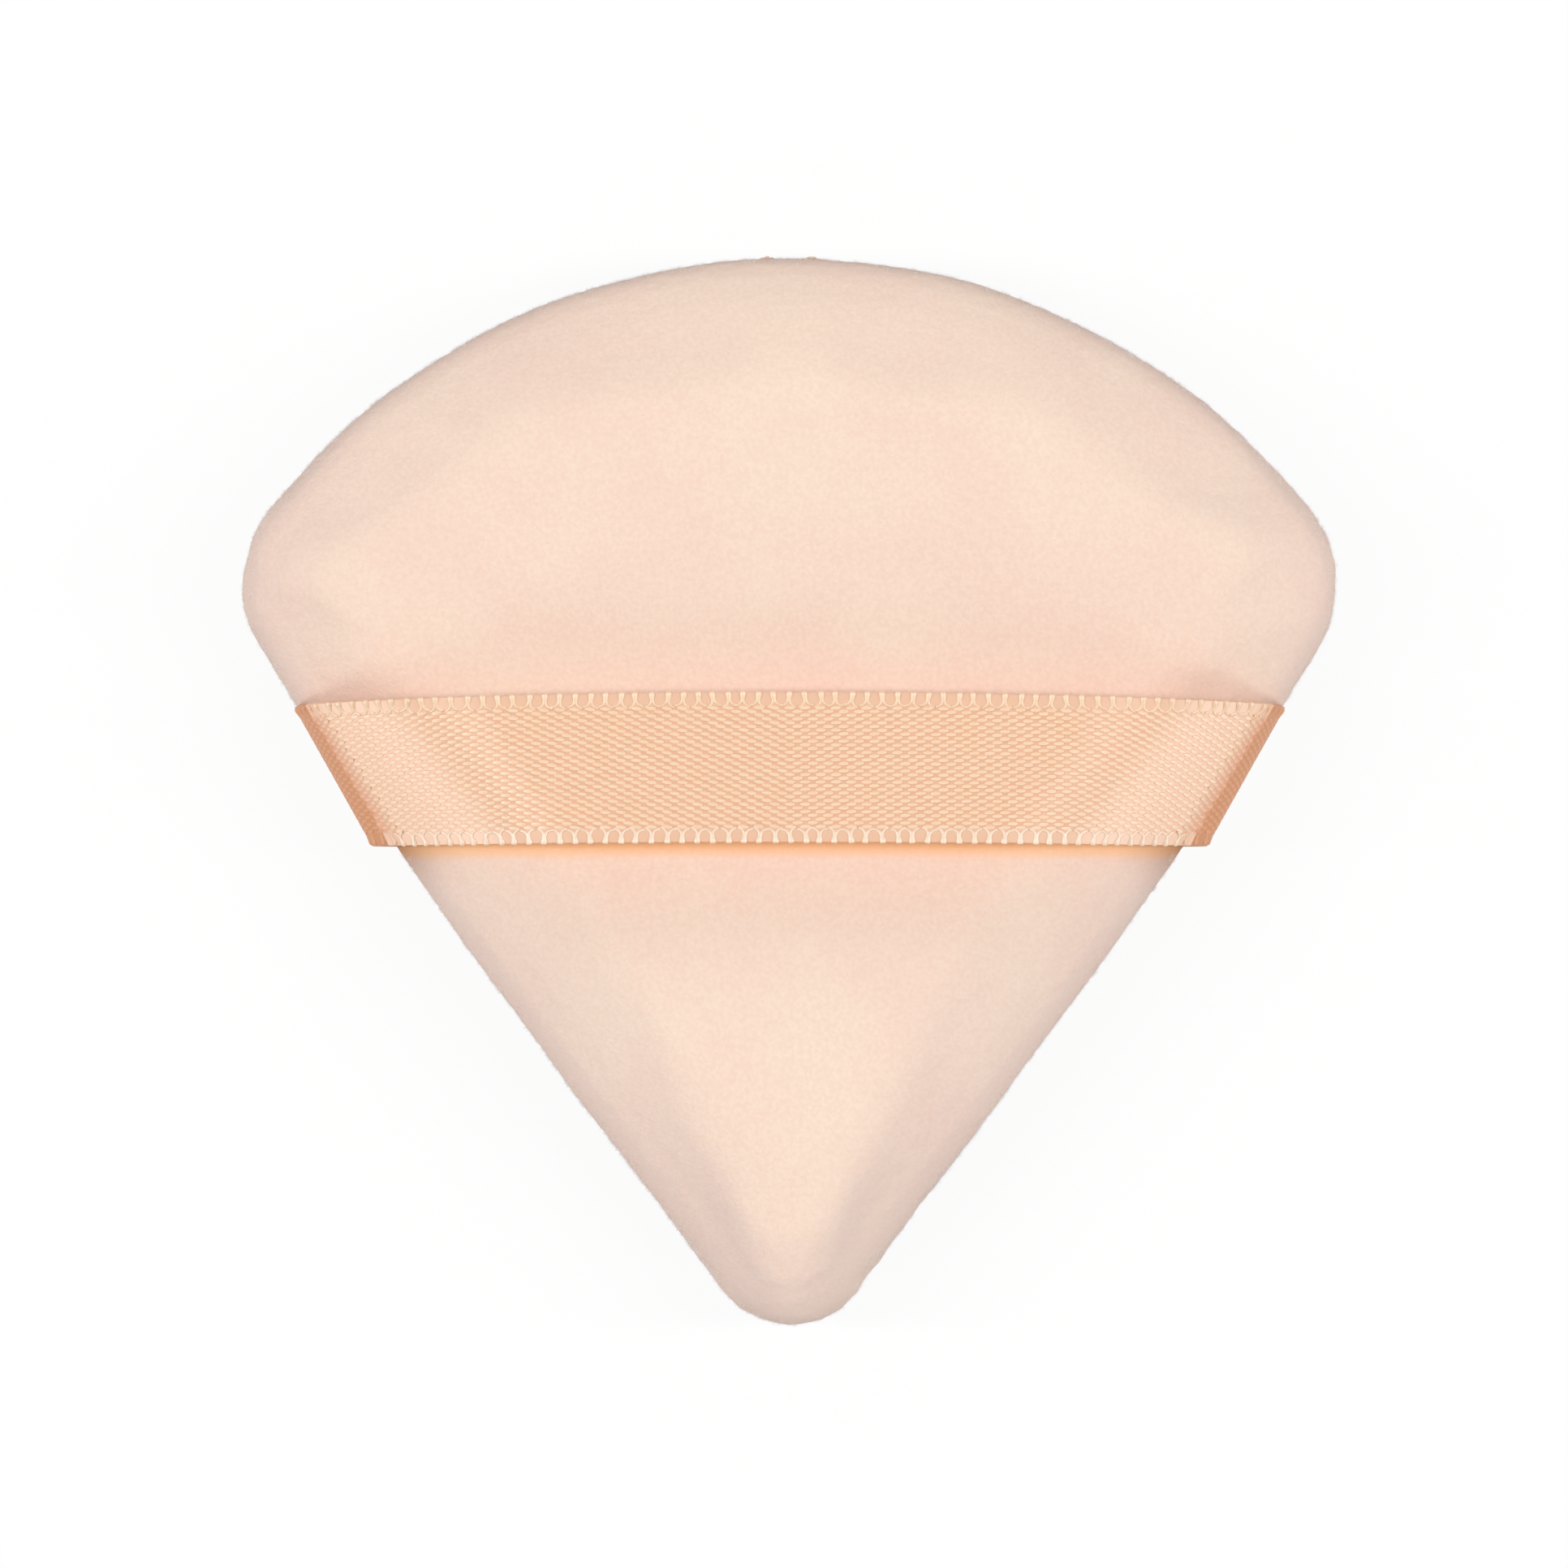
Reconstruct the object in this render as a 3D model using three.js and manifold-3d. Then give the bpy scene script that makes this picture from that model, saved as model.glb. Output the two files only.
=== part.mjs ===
// A fan-shaped velour powder puff with a satin finger ribbon, in millimetres.
// It lies on its powder face: +Z is up through the back, +Y points at the fan's round end
// and X runs along the ribbon. The origin is under the middle of the puff, on the table.
import * as THREE from "three";
import { mergeVertices } from "three/addons/utils/BufferGeometryUtils.js";
import Module from "manifold-3d";

const wasm = await Module();
wasm.setup();

// The puff's outline, seen from above
const puffWidth = 74.2;
const puffLength = 72;
const shoulderRadius = 9;
const shoulderDrop = 13.3;
const hipRadius = 42;
const hipSweepDegrees = 6;
const tipRadius = 6.5;

// The puff's thickness, measured from the plane of its edge seam
const faceDepth = 6.2;
const backHeight = 6.8;
const backCrown = 1.0;
const rollReach = 6.0;
const rollSquareness = 2.3;
const lipHeight = 2.2;

// The velour covers and the seam between them
const coverThickness = 1.2;
const seamRecess = 1.1;
const seamAllowance = 4.0;
const allowanceThickness = 1.0;
const turningGap = 24;
const softClearance = 0.3;

// The threads
const threadDiameter = 0.3;
const closingStitchPitch = 3.0;
const closingStitchSway = 0.2;

// The satin ribbon. Heights are above the seam, and insets are measured in from the puff's edge.
const ribbonWidth = 10;
const ribbonThickness = 0.4;
const ribbonMiddle = 1.6;
const ribbonTail = 3.2;
const ribbonEndDrop = 0.65;
const ribbonEndGather = 0.9;
const fingerGap = 4.5;
const spanInset = 10.5;
const slopeFootInset = 1.4;
const slopeFootHeight = 7.8;
const slopeDegrees = 40;
const handleShare = 0.38;
const curlHeight = 3.0;
const upperCurlBulge = 0.75;
const lowerCurlBulge = 1.6;

const seamPlane = faceDepth;
// The rings of the covers and the foam shrink towards a point this far above the origin.
const puffMiddle = 3;
const steps = { fan: 11, shoulder: 6, hip: 3, flank: 4, tip: 4, ribbonAlong: 56, ribbonAcross: 4 };

const velour = new THREE.MeshStandardMaterial({ color: 0xfbdfcb, roughness: 0.95 });
const foam = new THREE.MeshStandardMaterial({ color: 0xf6efe2, roughness: 0.9 });
const satin = new THREE.MeshStandardMaterial({ color: 0xf6c9a4, roughness: 0.42 });
const thread = new THREE.MeshStandardMaterial({ color: 0xf3d3bb, roughness: 0.6 });

// A place on the outline: where it is and which way is out. The turn is 0 at the fan's top,
// 90 degrees at the widest place and 180 at the tip.
const outward = (turn) => new THREE.Vector2(Math.sin(turn), Math.cos(turn));

// The outline's four arcs. Each is tangent to the next, and the straight flank is tangent to the
// hip and the tip. The shoulder's centre lies shoulderDrop below the fan's top, less the radius.
function outlineArcs() {
  const shoulder = new THREE.Vector2(
    puffWidth / 2 - shoulderRadius,
    puffLength / 2 - shoulderRadius - shoulderDrop,
  );
  const fanRadius = shoulderRadius + (shoulder.x ** 2 + shoulderDrop ** 2) / (2 * shoulderDrop);
  const fan = new THREE.Vector2(0, puffLength / 2 - fanRadius);
  const shoulderTurn = Math.atan2(shoulder.x, shoulder.y - fan.y);
  const tip = new THREE.Vector2(0, tipRadius - puffLength / 2);
  const toTip = tip.clone().sub(shoulder);
  const hipSweep = THREE.MathUtils.degToRad(hipSweepDegrees);
  const hipExcess = (shoulderRadius - hipRadius) * Math.cos(hipSweep) + hipRadius - tipRadius;
  const flankTurn = Math.atan2(toTip.x, toTip.y) + 2 * Math.PI - Math.acos(hipExcess / toTip.length());
  const hipTurn = flankTurn - hipSweep;
  const hip = outward(hipTurn).multiplyScalar(shoulderRadius - hipRadius).add(shoulder);
  return [
    { centre: fan, radius: fanRadius, from: 0, to: shoulderTurn, steps: steps.fan },
    { centre: shoulder, radius: shoulderRadius, from: shoulderTurn, to: hipTurn, steps: steps.shoulder },
    { centre: hip, radius: hipRadius, from: hipTurn, to: flankTurn, steps: steps.hip },
    { centre: tip, radius: tipRadius, from: flankTurn, to: Math.PI, steps: steps.tip },
  ];
}

// Places down the right half of the outline, from the fan's top to the tip, both included.
function halfOutline() {
  const places = [];
  outlineArcs().forEach((arc, i) => {
    if (i === 3) {
      const start = places.at(-1).point;
      const end = outward(arc.from).multiplyScalar(arc.radius).add(arc.centre);
      for (let k = 1; k < steps.flank; k++) {
        places.push({ point: start.clone().lerp(end, k / steps.flank), out: outward(arc.from) });
      }
    }
    for (let k = i === 0 || i === 3 ? 0 : 1; k <= arc.steps; k++) {
      const out = outward(THREE.MathUtils.lerp(arc.from, arc.to, k / arc.steps));
      places.push({ point: out.clone().multiplyScalar(arc.radius).add(arc.centre), out });
    }
  });
  return places;
}

const rightHalf = halfOutline();
const leftHalf = rightHalf.map(({ point, out }) => ({
  point: new THREE.Vector2(-point.x, point.y),
  out: new THREE.Vector2(-out.x, out.y),
}));
// The whole outline, anticlockwise from the fan's top
const outline = [...leftHalf, ...rightHalf.slice(1, -1).reverse()];

// The right flank at height y: its x, and how much longer a cut along X is than one square to it.
function flankAt(y) {
  const lower = rightHalf.findIndex(({ point, out }) => point.y < y && out.y < 0);
  const [a, b] = [rightHalf[lower - 1], rightHalf[lower]];
  const share = (a.point.y - y) / (a.point.y - b.point.y);
  const out = a.out.clone().lerp(b.out, share).normalize();
  return { x: THREE.MathUtils.lerp(a.point.x, b.point.x, share), slant: 1 / out.x };
}

// Geometry from points and the triangles between them
function geometryOf(points, faces) {
  const geometry = new THREE.BufferGeometry().setFromPoints(points);
  geometry.setIndex(faces.flat());
  return geometry;
}

// A closed body of rings round the outline. Each station is a ring: its inset from the outline,
// its height, and the share by which it has shrunk towards the puff's middle. The first and last
// stations are the single points that close the body. A profile that runs outwards over the top
// and back in underneath gives faces that point out.
function ringBody(stations) {
  const middle = new THREE.Vector2(0, puffMiddle);
  const rings = stations.slice(1, -1);
  const points = [new THREE.Vector3(0, puffMiddle, seamPlane + stations[0].height)];
  rings.forEach(({ inset, height, shrinkShare = 1 }) => {
    outline.forEach(({ point, out }) => {
      const at = point.clone().addScaledVector(out, -inset).sub(middle).multiplyScalar(shrinkShare).add(middle);
      points.push(new THREE.Vector3(at.x, at.y, seamPlane + height));
    });
  });
  points.push(new THREE.Vector3(0, puffMiddle, seamPlane + stations.at(-1).height));
  const n = outline.length;
  const last = points.length - 1;
  const at = (ring, k) => 1 + ring * n + (k % n);
  const faces = [];
  for (let k = 0; k < n; k++) {
    faces.push([0, at(0, k), at(0, k + 1)]);
    for (let ring = 0; ring < rings.length - 1; ring++) {
      faces.push([at(ring, k), at(ring + 1, k), at(ring + 1, k + 1)]);
      faces.push([at(ring, k), at(ring + 1, k + 1), at(ring, k + 1)]);
    }
    faces.push([at(rings.length - 1, k + 1), at(rings.length - 1, k), last]);
  }
  return geometryOf(points, faces);
}

// The rounded edge from the flat of a face out to the puff's widest line, at a depth under the
// outer surface of the velour.
function roll(rise, depth, count) {
  const reach = rollReach - depth;
  const height = rise - lipHeight - depth;
  return Array.from({ length: count + 1 }, (_, k) => {
    const angle = (Math.PI / 2) * (1 - k / count);
    return {
      inset: rollReach - reach * Math.cos(angle) ** (2 / rollSquareness),
      height: lipHeight + height * Math.sin(angle) ** (2 / rollSquareness),
    };
  });
}

// The middle of a face, from its top point out to where the edge starts to roll
function crown(rise, crownHeight, depth, shrinkShares) {
  return shrinkShares.map((shrinkShare) => ({
    inset: rollReach,
    height: rise - depth + crownHeight * (1 - shrinkShare ** 2),
    shrinkShare,
  }));
}

// The lip that rolls from the widest line back into the seam
function lip(count) {
  return Array.from({ length: count }, (_, k) => {
    const angle = (Math.PI / 2) * ((k + 1) / count);
    return {
      inset: seamRecess * (1 - Math.cos(angle)),
      height: lipHeight * (1 - Math.sin(angle)),
    };
  });
}

// One velour cover: a shell over its half of the puff, with its seam allowance turned in.
function coverProfile(rise, crownHeight) {
  const allowanceEdge = seamRecess + seamAllowance;
  return [
    ...crown(rise, crownHeight, 0, [0, 1 / 3, 2 / 3]),
    ...roll(rise, 0, 5),
    ...lip(2),
    { inset: allowanceEdge, height: 0 },
    { inset: allowanceEdge, height: allowanceThickness },
    { inset: coverThickness, height: allowanceThickness },
    ...roll(rise, coverThickness, 3).reverse(),
    ...crown(rise, crownHeight, coverThickness, [1 / 2, 0]),
  ];
}

// The same profile turned over, so that the body lies under the seam
const turnedOver = (stations) =>
  stations.map((station) => ({ ...station, height: -station.height })).reverse();

// The half of the foam above the seam, with the groove that takes the allowances and the threads
function foamProfile(rise, crownHeight) {
  const depth = coverThickness + softClearance;
  const grooveHeight = allowanceThickness + threadDiameter + 2 * softClearance;
  return [
    ...crown(rise, crownHeight, depth, [0, 1 / 2]),
    ...roll(rise, depth, 4),
    { inset: depth, height: grooveHeight },
    { inset: seamRecess + seamAllowance + softClearance, height: grooveHeight },
  ];
}

// A thread along points, as a closed tube
function tube(points, divisions) {
  const section = new THREE.Shape().absarc(0, 0, threadDiameter / 2, 0, 2 * Math.PI);
  return new THREE.ExtrudeGeometry(section, {
    curveSegments: 3,
    steps: divisions,
    extrudePath: new THREE.CatmullRomCurve3(points),
  });
}

// One thread of the machine seam, which runs round the puff from one side of the turning gap
// to the other, on its own side of the allowances.
function seamThread(side) {
  const inset = coverThickness + softClearance + threadDiameter / 2;
  const height = side * (allowanceThickness + softClearance + threadDiameter / 2);
  const sewn = outline.filter(({ point }) => point.y < 0 || Math.abs(point.x) > turningGap / 2);
  const points = sewn.map(({ point, out }) => {
    const at = point.clone().addScaledVector(out, -inset);
    return new THREE.Vector3(at.x, at.y, seamPlane + height);
  });
  return tube(points, 2 * sewn.length);
}

// The hand stitch that closes the turning gap. It lies in the seam, flush with the puff's edge,
// and crosses from lip to lip.
function closingStitch() {
  const arc = outlineArcs()[0];
  const count = Math.round(turningGap / closingStitchPitch) * 2;
  const halfTurn = Math.asin(turningGap / 2 / arc.radius);
  const points = Array.from({ length: count + 1 }, (_, k) => {
    const out = outward(THREE.MathUtils.lerp(-halfTurn, halfTurn, k / count));
    const at = out.multiplyScalar(arc.radius - threadDiameter / 2).add(arc.centre);
    return new THREE.Vector3(at.x, at.y, seamPlane + closingStitchSway * (k % 2 ? 1 : -1));
  });
  return tube(points, 4 * count);
}

// Half of one warp line of the ribbon, from the middle of the span to its sewn end, as a curve
// of x and the height above the seam: the flat span, the slope, the curl round the puff's edge
// and the tail in the seam. acrossShare is 0 at the ribbon's lower edge and 1 at its upper edge.
function warpLine(acrossShare, tail) {
  const gathered = ribbonWidth - ribbonEndGather;
  const { x: edge, slant } = flankAt(ribbonMiddle - ribbonEndDrop + gathered * (acrossShare - 0.5));
  const bulge = THREE.MathUtils.lerp(lowerCurlBulge, upperCurlBulge, acrossShare);
  const place = (inset, height) => new THREE.Vector2(edge - inset * slant, height);
  const spanHeight = backHeight + backCrown + fingerGap + ribbonThickness / 2;
  const middle = new THREE.Vector2(0, spanHeight);
  const spanEnd = place(spanInset, spanHeight);
  const foot = place(slopeFootInset, slopeFootHeight);
  const outermost = place(-bulge, curlHeight);
  const mouth = place(seamRecess, 0);
  const downSlope = outward(Math.PI / 2 + THREE.MathUtils.degToRad(slopeDegrees));
  const rounded = (from, fromHeading, to, toHeading) => {
    const reach = handleShare * from.distanceTo(to);
    const first = from.clone().addScaledVector(fromHeading, reach);
    return new THREE.CubicBezierCurve(from, first, to.clone().addScaledVector(toHeading, -reach), to);
  };
  const along = new THREE.Vector2(1, 0);
  const down = new THREE.Vector2(0, -1);
  const inwards = new THREE.Vector2(-1, 0);
  const line = new THREE.CurvePath();
  line.add(new THREE.LineCurve(middle, spanEnd));
  line.add(rounded(spanEnd, along, foot, downSlope));
  line.add(rounded(foot, downSlope, outermost, down));
  line.add(rounded(outermost, down, mouth, inwards));
  line.add(new THREE.LineCurve(mouth, place(seamRecess + tail, 0)));
  return line;
}

// A closed sheet along the ribbon's whole run: with a margin it is the room that the ribbon needs.
function ribbonBody(margin) {
  const rows = Array.from({ length: steps.ribbonAcross + 1 }, (_, j) => {
    const acrossShare = j / steps.ribbonAcross;
    const line = warpLine(acrossShare, ribbonTail + margin);
    return Array.from({ length: steps.ribbonAlong + 1 }, (_, i) => {
      const alongShare = 2 * (i / steps.ribbonAlong) - 1;
      const at = line.getPointAt(Math.abs(alongShare));
      const width = ribbonWidth - ribbonEndGather * alongShare ** 2 + 2 * margin;
      const y = ribbonMiddle - ribbonEndDrop * alongShare ** 2 + width * (acrossShare - 0.5);
      return new THREE.Vector3(at.x * Math.sign(alongShare), y, seamPlane + at.y);
    });
  });
  return sheetBody(rows, ribbonThickness + 2 * margin);
}

// A closed body around a grid of points, half its thickness to each side
function sheetBody(rows, thickness) {
  const [last, end] = [rows.length - 1, rows[0].length - 1];
  const halfNormal = (j, i) => {
    const along = rows[j][Math.min(i + 1, end)].clone().sub(rows[j][Math.max(i - 1, 0)]);
    const across = rows[Math.min(j + 1, last)][i].clone().sub(rows[Math.max(j - 1, 0)][i]);
    return along.cross(across).setLength(thickness / 2);
  };
  const points = [];
  for (const side of [1, -1]) {
    rows.forEach((row, j) => {
      row.forEach((point, i) => points.push(point.clone().addScaledVector(halfNormal(j, i), side)));
    });
  }
  const at = (side, j, i) => side * rows.length * (end + 1) + j * (end + 1) + i;
  const faces = [];
  const quad = (a, b, c, d) => faces.push([a, b, c], [a, c, d]);
  for (let j = 0; j < last; j++) {
    for (let i = 0; i < end; i++) {
      quad(at(0, j, i), at(0, j, i + 1), at(0, j + 1, i + 1), at(0, j + 1, i));
      quad(at(1, j, i), at(1, j + 1, i), at(1, j + 1, i + 1), at(1, j, i + 1));
    }
    quad(at(0, j, 0), at(0, j + 1, 0), at(1, j + 1, 0), at(1, j, 0));
    quad(at(0, j + 1, end), at(0, j, end), at(1, j, end), at(1, j + 1, end));
  }
  for (let i = 0; i < end; i++) {
    quad(at(0, 0, i + 1), at(0, 0, i), at(1, 0, i), at(1, 0, i + 1));
    quad(at(0, last, i), at(0, last, i + 1), at(1, last, i + 1), at(1, last, i));
  }
  return geometryOf(points, faces);
}

function toSolid(geometry) {
  const bare = geometry.clone();
  bare.deleteAttribute("normal");
  bare.deleteAttribute("uv");
  const merged = mergeVertices(bare);
  return new wasm.Manifold(
    new wasm.Mesh({
      numProp: 3,
      vertProperties: merged.attributes.position.array,
      triVerts: new Uint32Array(merged.index.array),
    }),
  );
}

function fromSolid(solid) {
  const { vertProperties, triVerts } = solid.getMesh();
  return new THREE.BufferGeometry()
    .setAttribute("position", new THREE.BufferAttribute(vertProperties, 3))
    .setIndex(new THREE.BufferAttribute(triVerts, 1));
}

const puff = new THREE.Group();

function addPiece(name, geometry, material) {
  const mesh = new THREE.Mesh(geometry, material);
  mesh.name = name;
  puff.add(mesh);
}

// The ribbon's ends lie in a pocket between the two allowances, which both covers give way to.
const ribbonRoom = toSolid(ribbonBody(softClearance));
const backCover = toSolid(ringBody(coverProfile(backHeight, backCrown)));
const powderCover = toSolid(ringBody(turnedOver(coverProfile(faceDepth, 0))));

addPiece("back_cover", fromSolid(backCover.subtract(ribbonRoom)), velour);
addPiece("powder_cover", fromSolid(powderCover.subtract(ribbonRoom)), velour);
addPiece(
  "foam_core",
  ringBody([...foamProfile(backHeight, backCrown), ...turnedOver(foamProfile(faceDepth, 0))]),
  foam,
);
addPiece("ribbon_band", ribbonBody(0), satin);
addPiece("seam_needle_thread", seamThread(1), thread);
addPiece("seam_bobbin_thread", seamThread(-1), thread);
addPiece("closing_stitch", closingStitch(), thread);

export default puff;
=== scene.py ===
from math import acos, atan2, cos, hypot, pi, radians, sin

import bmesh
import bpy
import numpy as np
from mathutils import Matrix, Vector
from mathutils.noise import noise


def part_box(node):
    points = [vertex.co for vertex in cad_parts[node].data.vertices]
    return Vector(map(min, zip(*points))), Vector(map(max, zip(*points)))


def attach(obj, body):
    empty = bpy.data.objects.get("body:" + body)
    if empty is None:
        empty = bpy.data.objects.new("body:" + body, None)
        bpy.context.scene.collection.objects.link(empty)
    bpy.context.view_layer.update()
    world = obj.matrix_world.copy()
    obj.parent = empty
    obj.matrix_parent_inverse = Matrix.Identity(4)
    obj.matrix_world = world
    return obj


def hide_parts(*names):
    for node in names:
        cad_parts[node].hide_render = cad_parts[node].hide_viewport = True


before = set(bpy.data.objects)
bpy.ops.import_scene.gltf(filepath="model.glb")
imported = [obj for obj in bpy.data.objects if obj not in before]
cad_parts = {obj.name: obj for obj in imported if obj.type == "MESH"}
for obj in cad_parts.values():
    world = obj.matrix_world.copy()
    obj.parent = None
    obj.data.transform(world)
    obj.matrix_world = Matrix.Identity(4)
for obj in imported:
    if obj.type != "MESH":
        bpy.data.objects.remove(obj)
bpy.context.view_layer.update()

MM = 0.001
UPRIGHT = np.array([0.0, 0.0, 1.0])

# The puff's outline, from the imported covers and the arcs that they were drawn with
OUTLINE_LOW, OUTLINE_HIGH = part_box("powder_cover")
PUFF_WIDTH = OUTLINE_HIGH.x - OUTLINE_LOW.x
PUFF_LENGTH = OUTLINE_HIGH.y - OUTLINE_LOW.y
SEAM_Z = OUTLINE_HIGH.z
BACK_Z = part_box("back_cover")[1].z
SHOULDER_RADIUS = 9 * MM
SHOULDER_DROP = 13.3 * MM
HIP_RADIUS = 42 * MM
HIP_SWEEP = radians(6)
TIP_RADIUS = 6.5 * MM

# The pad's section
CROWN = 1.0 * MM
ROLL_REACH = 6.0 * MM
ROLL_SQUARENESS = 2.3
ROLL_RINGS = 7
LIP_HEIGHT = 2.2 * MM
LIP_RINGS = 3
DOME_REACH = 11 * MM
DOME_BLEND = 1.5 * MM
DOME_EVENING = 25
SEAM_RECESS = 1.1 * MM
SEAM_ALLOWANCE = 4.0 * MM
SEAM_GAP = 0.08 * MM
COVER_THICKNESS = 1.2 * MM
FOAM_DEPTH = COVER_THICKNESS + 0.3 * MM
FOAM_GAP = 0.3 * MM
FOAM_GROOVE_HALF = 2.0 * MM
FACE_LEVEL = 0.99

# Filling the covers. The cloth is filled at ten times its size, which gives the solver room.
WORK_SCALE = 10.0
SIMULATED_FRAMES = 20
CLOTH = {
    "quality": 5,
    "mass": 0.3,
    "tension_stiffness": 15,
    "compression_stiffness": 15,
    "shear_stiffness": 5,
    "bending_stiffness": 0.5,
    "shrink_min": -0.02,
    "use_pressure": True,
    "uniform_pressure_force": 4,
    "vertex_group_mass": "seam",
}
CLOTH_VOXEL = 0.7 * MM
PAD_DEPTH = 0.5 * MM
HELD_VOXELS = 0.8
SWELL_CAP = 0.8 * MM
EVENING_ROUNDS = 12
MERGE = 0.01 * MM

# The velour's unevenness
PUCKER_SIZE = 1.5 * MM
PUCKER_DEPTH = 0.12 * MM
PUCKER_SPREAD = 1.6 * MM
SWELL_SIZE = 8 * MM
SWELL_DEPTH = 0.12 * MM
NAP_RISE = 0.03 * MM
NAP_SEED = 5

# The pile that stands out past the rolled rim
PILE_TUFTS = 4200
FIBRES_IN_TUFT = 6
PILE_HEIGHT = 0.38 * MM
SHORTEST_TUFT = 0.4
SHORTEST_FIBRE = 0.8
PILE_THICKNESS = 0.026 * MM
PILE_STEEPNESS = cos(radians(64))
PILE_ROOT = 0.06 * MM
TUFT_SPREAD = 0.14 * MM
TUFT_LEAN = 0.35
FIBRE_LEAN = 0.25
PILE_SEED = 11

# Painted shade and painted shadow on the velour: a warm painted shadow close under the ribbon, a dark
# painted shadow round the ribbon's corners, painted shade over the rim
WARM_SHADOW_REACH = 1.15 * MM
WARM_SHADOW_DROP = 6 * MM
WARM_SHADOW_SHARE = 0.9
CORNER_SHADOW_REACH = 5.5 * MM
CORNER_SHADOW_SHARE = 0.85
RIM_SHADE_CAP = 0.45
RIM_SHADE_AT_TIP = 1.9
RIM_SHADE_AT_TOP = 0.5

# The satin ribbon
RIBBON_WIDTH = 10 * MM
RIBBON_SOLID = 0.4 * MM
RIBBON_BODY = 0.22 * MM
RIBBON_MIDDLE = 1.6 * MM
RIBBON_END_DROP = 0.9 * MM
RIBBON_END_GATHER = 0.9 * MM
RIBBON_TAIL = 3.2 * MM
SPAN_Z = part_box("ribbon_band")[1].z - RIBBON_SOLID / 2
SPAN_INSET = 10.5 * MM
LOWER_FOOT_INSET = 0.7 * MM
UPPER_FOOT_INSET = 1.2 * MM
LOWER_FOOT_Z = SEAM_Z + 6.5 * MM
UPPER_FOOT_Z = SEAM_Z + 7.8 * MM
SLOPE = radians(40)
CURL_SLOPE = radians(62)
HANDLE_SHARE = 0.38
CURL_Z = SEAM_Z + 3.0 * MM
UPPER_CURL_BULGE = 0.05 * MM
LOWER_CURL_BULGE = 1.15 * MM
CURL_FADE = 1.6 * MM
FULLY_CURLED = 0.99
SPAN_STEPS = 12
BEND_STEPS = 24
TAIL_STEPS = 8
FOOT_STEP = SPAN_STEPS + BEND_STEPS - 2

# The ribbon's weave, measured along and across it
WOVEN_ALONG = 420
WOVEN_ACROSS = 28
WOVEN_SHARP_EDGE = radians(40)
SELVEDGE_WIDTH = 0.9 * MM
FLOAT_PITCH = 1.03 * MM
FLOAT_ROW_PITCH = 0.245 * MM
FLOAT_LENGTH = 0.74 * MM
FLOAT_WIDTH = 0.28 * MM
FLOAT_RISE = 0.06 * MM
FLOAT_PRESS = 1.6
FLOAT_FULLNESS = 1.1
FLOAT_SINK = 0.008 * MM
FLOAT_SHARP_EDGE = radians(25)
FLOAT_SLANT = radians(6)
STEEPEST_SLANT = -2.0
SLANT_TURN = 20 * MM
SLANT_FADE = 3 * MM
CURL_FLATTENING = 0.5
LOOP_YARN = 0.19 * MM
LOOP_FOOT = 0.5 * MM
LOOP_LEG = 0.32 * MM
LOOP_HEIGHT = 0.9 * MM
LOOP_STEPS = 8
FOOT_SPINE_SHARES = (-0.3, -0.15, 0.1, 0.5)
FOOT_WIDTH_SHARES = (0.55, 0.9, 1, 0.95)
LEG_WIDTH_SHARE = 0.75
NARROWING_STEPS = 4
LOOP_FLATNESS = 0.6
LOOP_TUCK = 0.15 * MM
LOOP_STRAY = 0.08 * MM
LOOP_SWAY = radians(12)
LOOP_SEED = 3

# The threads
THREAD_DIAMETER = 0.3 * MM
THREAD_TWIST = 0.7 * MM
THREAD_STEPS = 12
CLOSING_STITCH_RUN = 24 * MM
CLOSING_STITCH_PITCH = 3.0 * MM
CLOSING_STITCH_SWAY = 0.2 * MM
CLOSING_STITCH_SINK = 0.35 * MM
PROUD_STITCH_RISE = 0.55 * MM
PROUD_STITCH_SPREAD = 3.5 * MM

# The photograph's framing and light
PHOTO_PIXELS = 1932
RIBBON_PIXELS = 182
PUFF_MIDDLE_PIXEL = np.array([973, 974.5])
CAMERA_DISTANCE = 1.2
FLOOR_SIZE = 3
FLOOR_GAP = 0.02 * MM
FLOOR_BOUNCE = (0.5, 0.46, 0.44)
FLOOR_GLOW = 0.9
WORLD_SHARE = 0.26
MAIN_SHARE = 0.343
BACK_SHARE = 0.09
LOW_SHARE = 0.047


# Selecting and editing


def only(piece):
    """Makes one object the selected and active one."""
    if bpy.context.object and bpy.context.object.mode != "OBJECT":
        bpy.ops.object.mode_set(mode="OBJECT")
    bpy.ops.object.select_all(action="DESELECT")
    bpy.context.view_layer.objects.active = piece
    piece.select_set(True)
    return piece


def add_object(name, data):
    """Puts a mesh, curve, lamp or camera in the scene as an object."""
    piece = bpy.data.objects.new(name, data)
    bpy.context.scene.collection.objects.link(piece)
    return piece


def start(name):
    """Names the primitive that was just added and opens it in edit mode, selected all over."""
    piece = bpy.context.object
    piece.name = piece.data.name = name
    open_whole(piece)
    return piece


def open_whole(piece):
    """Opens an object in edit mode, selected all over."""
    only(piece)
    bpy.ops.object.mode_set(mode="EDIT")
    bpy.ops.mesh.select_all(action="SELECT")


def turn_outwards(piece):
    """Turns all of the object's faces outwards and leaves edit mode."""
    open_whole(piece)
    bpy.ops.mesh.normals_make_consistent(inside=False)
    bpy.ops.object.mode_set(mode="OBJECT")


def settle(piece):
    """Leaves edit mode and moves the object's place into its mesh."""
    only(piece)
    bpy.ops.object.transform_apply(location=True, rotation=True, scale=True)
    return piece


def select_faces(piece, test):
    """Selects the faces whose normal passes the test, in edit mode."""
    mesh = bmesh.from_edit_mesh(piece.data)
    bpy.ops.mesh.select_all(action="DESELECT")
    for face in mesh.faces:
        if test(face.normal):
            face.select_set(True)
    bmesh.update_edit_mesh(piece.data)


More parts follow.
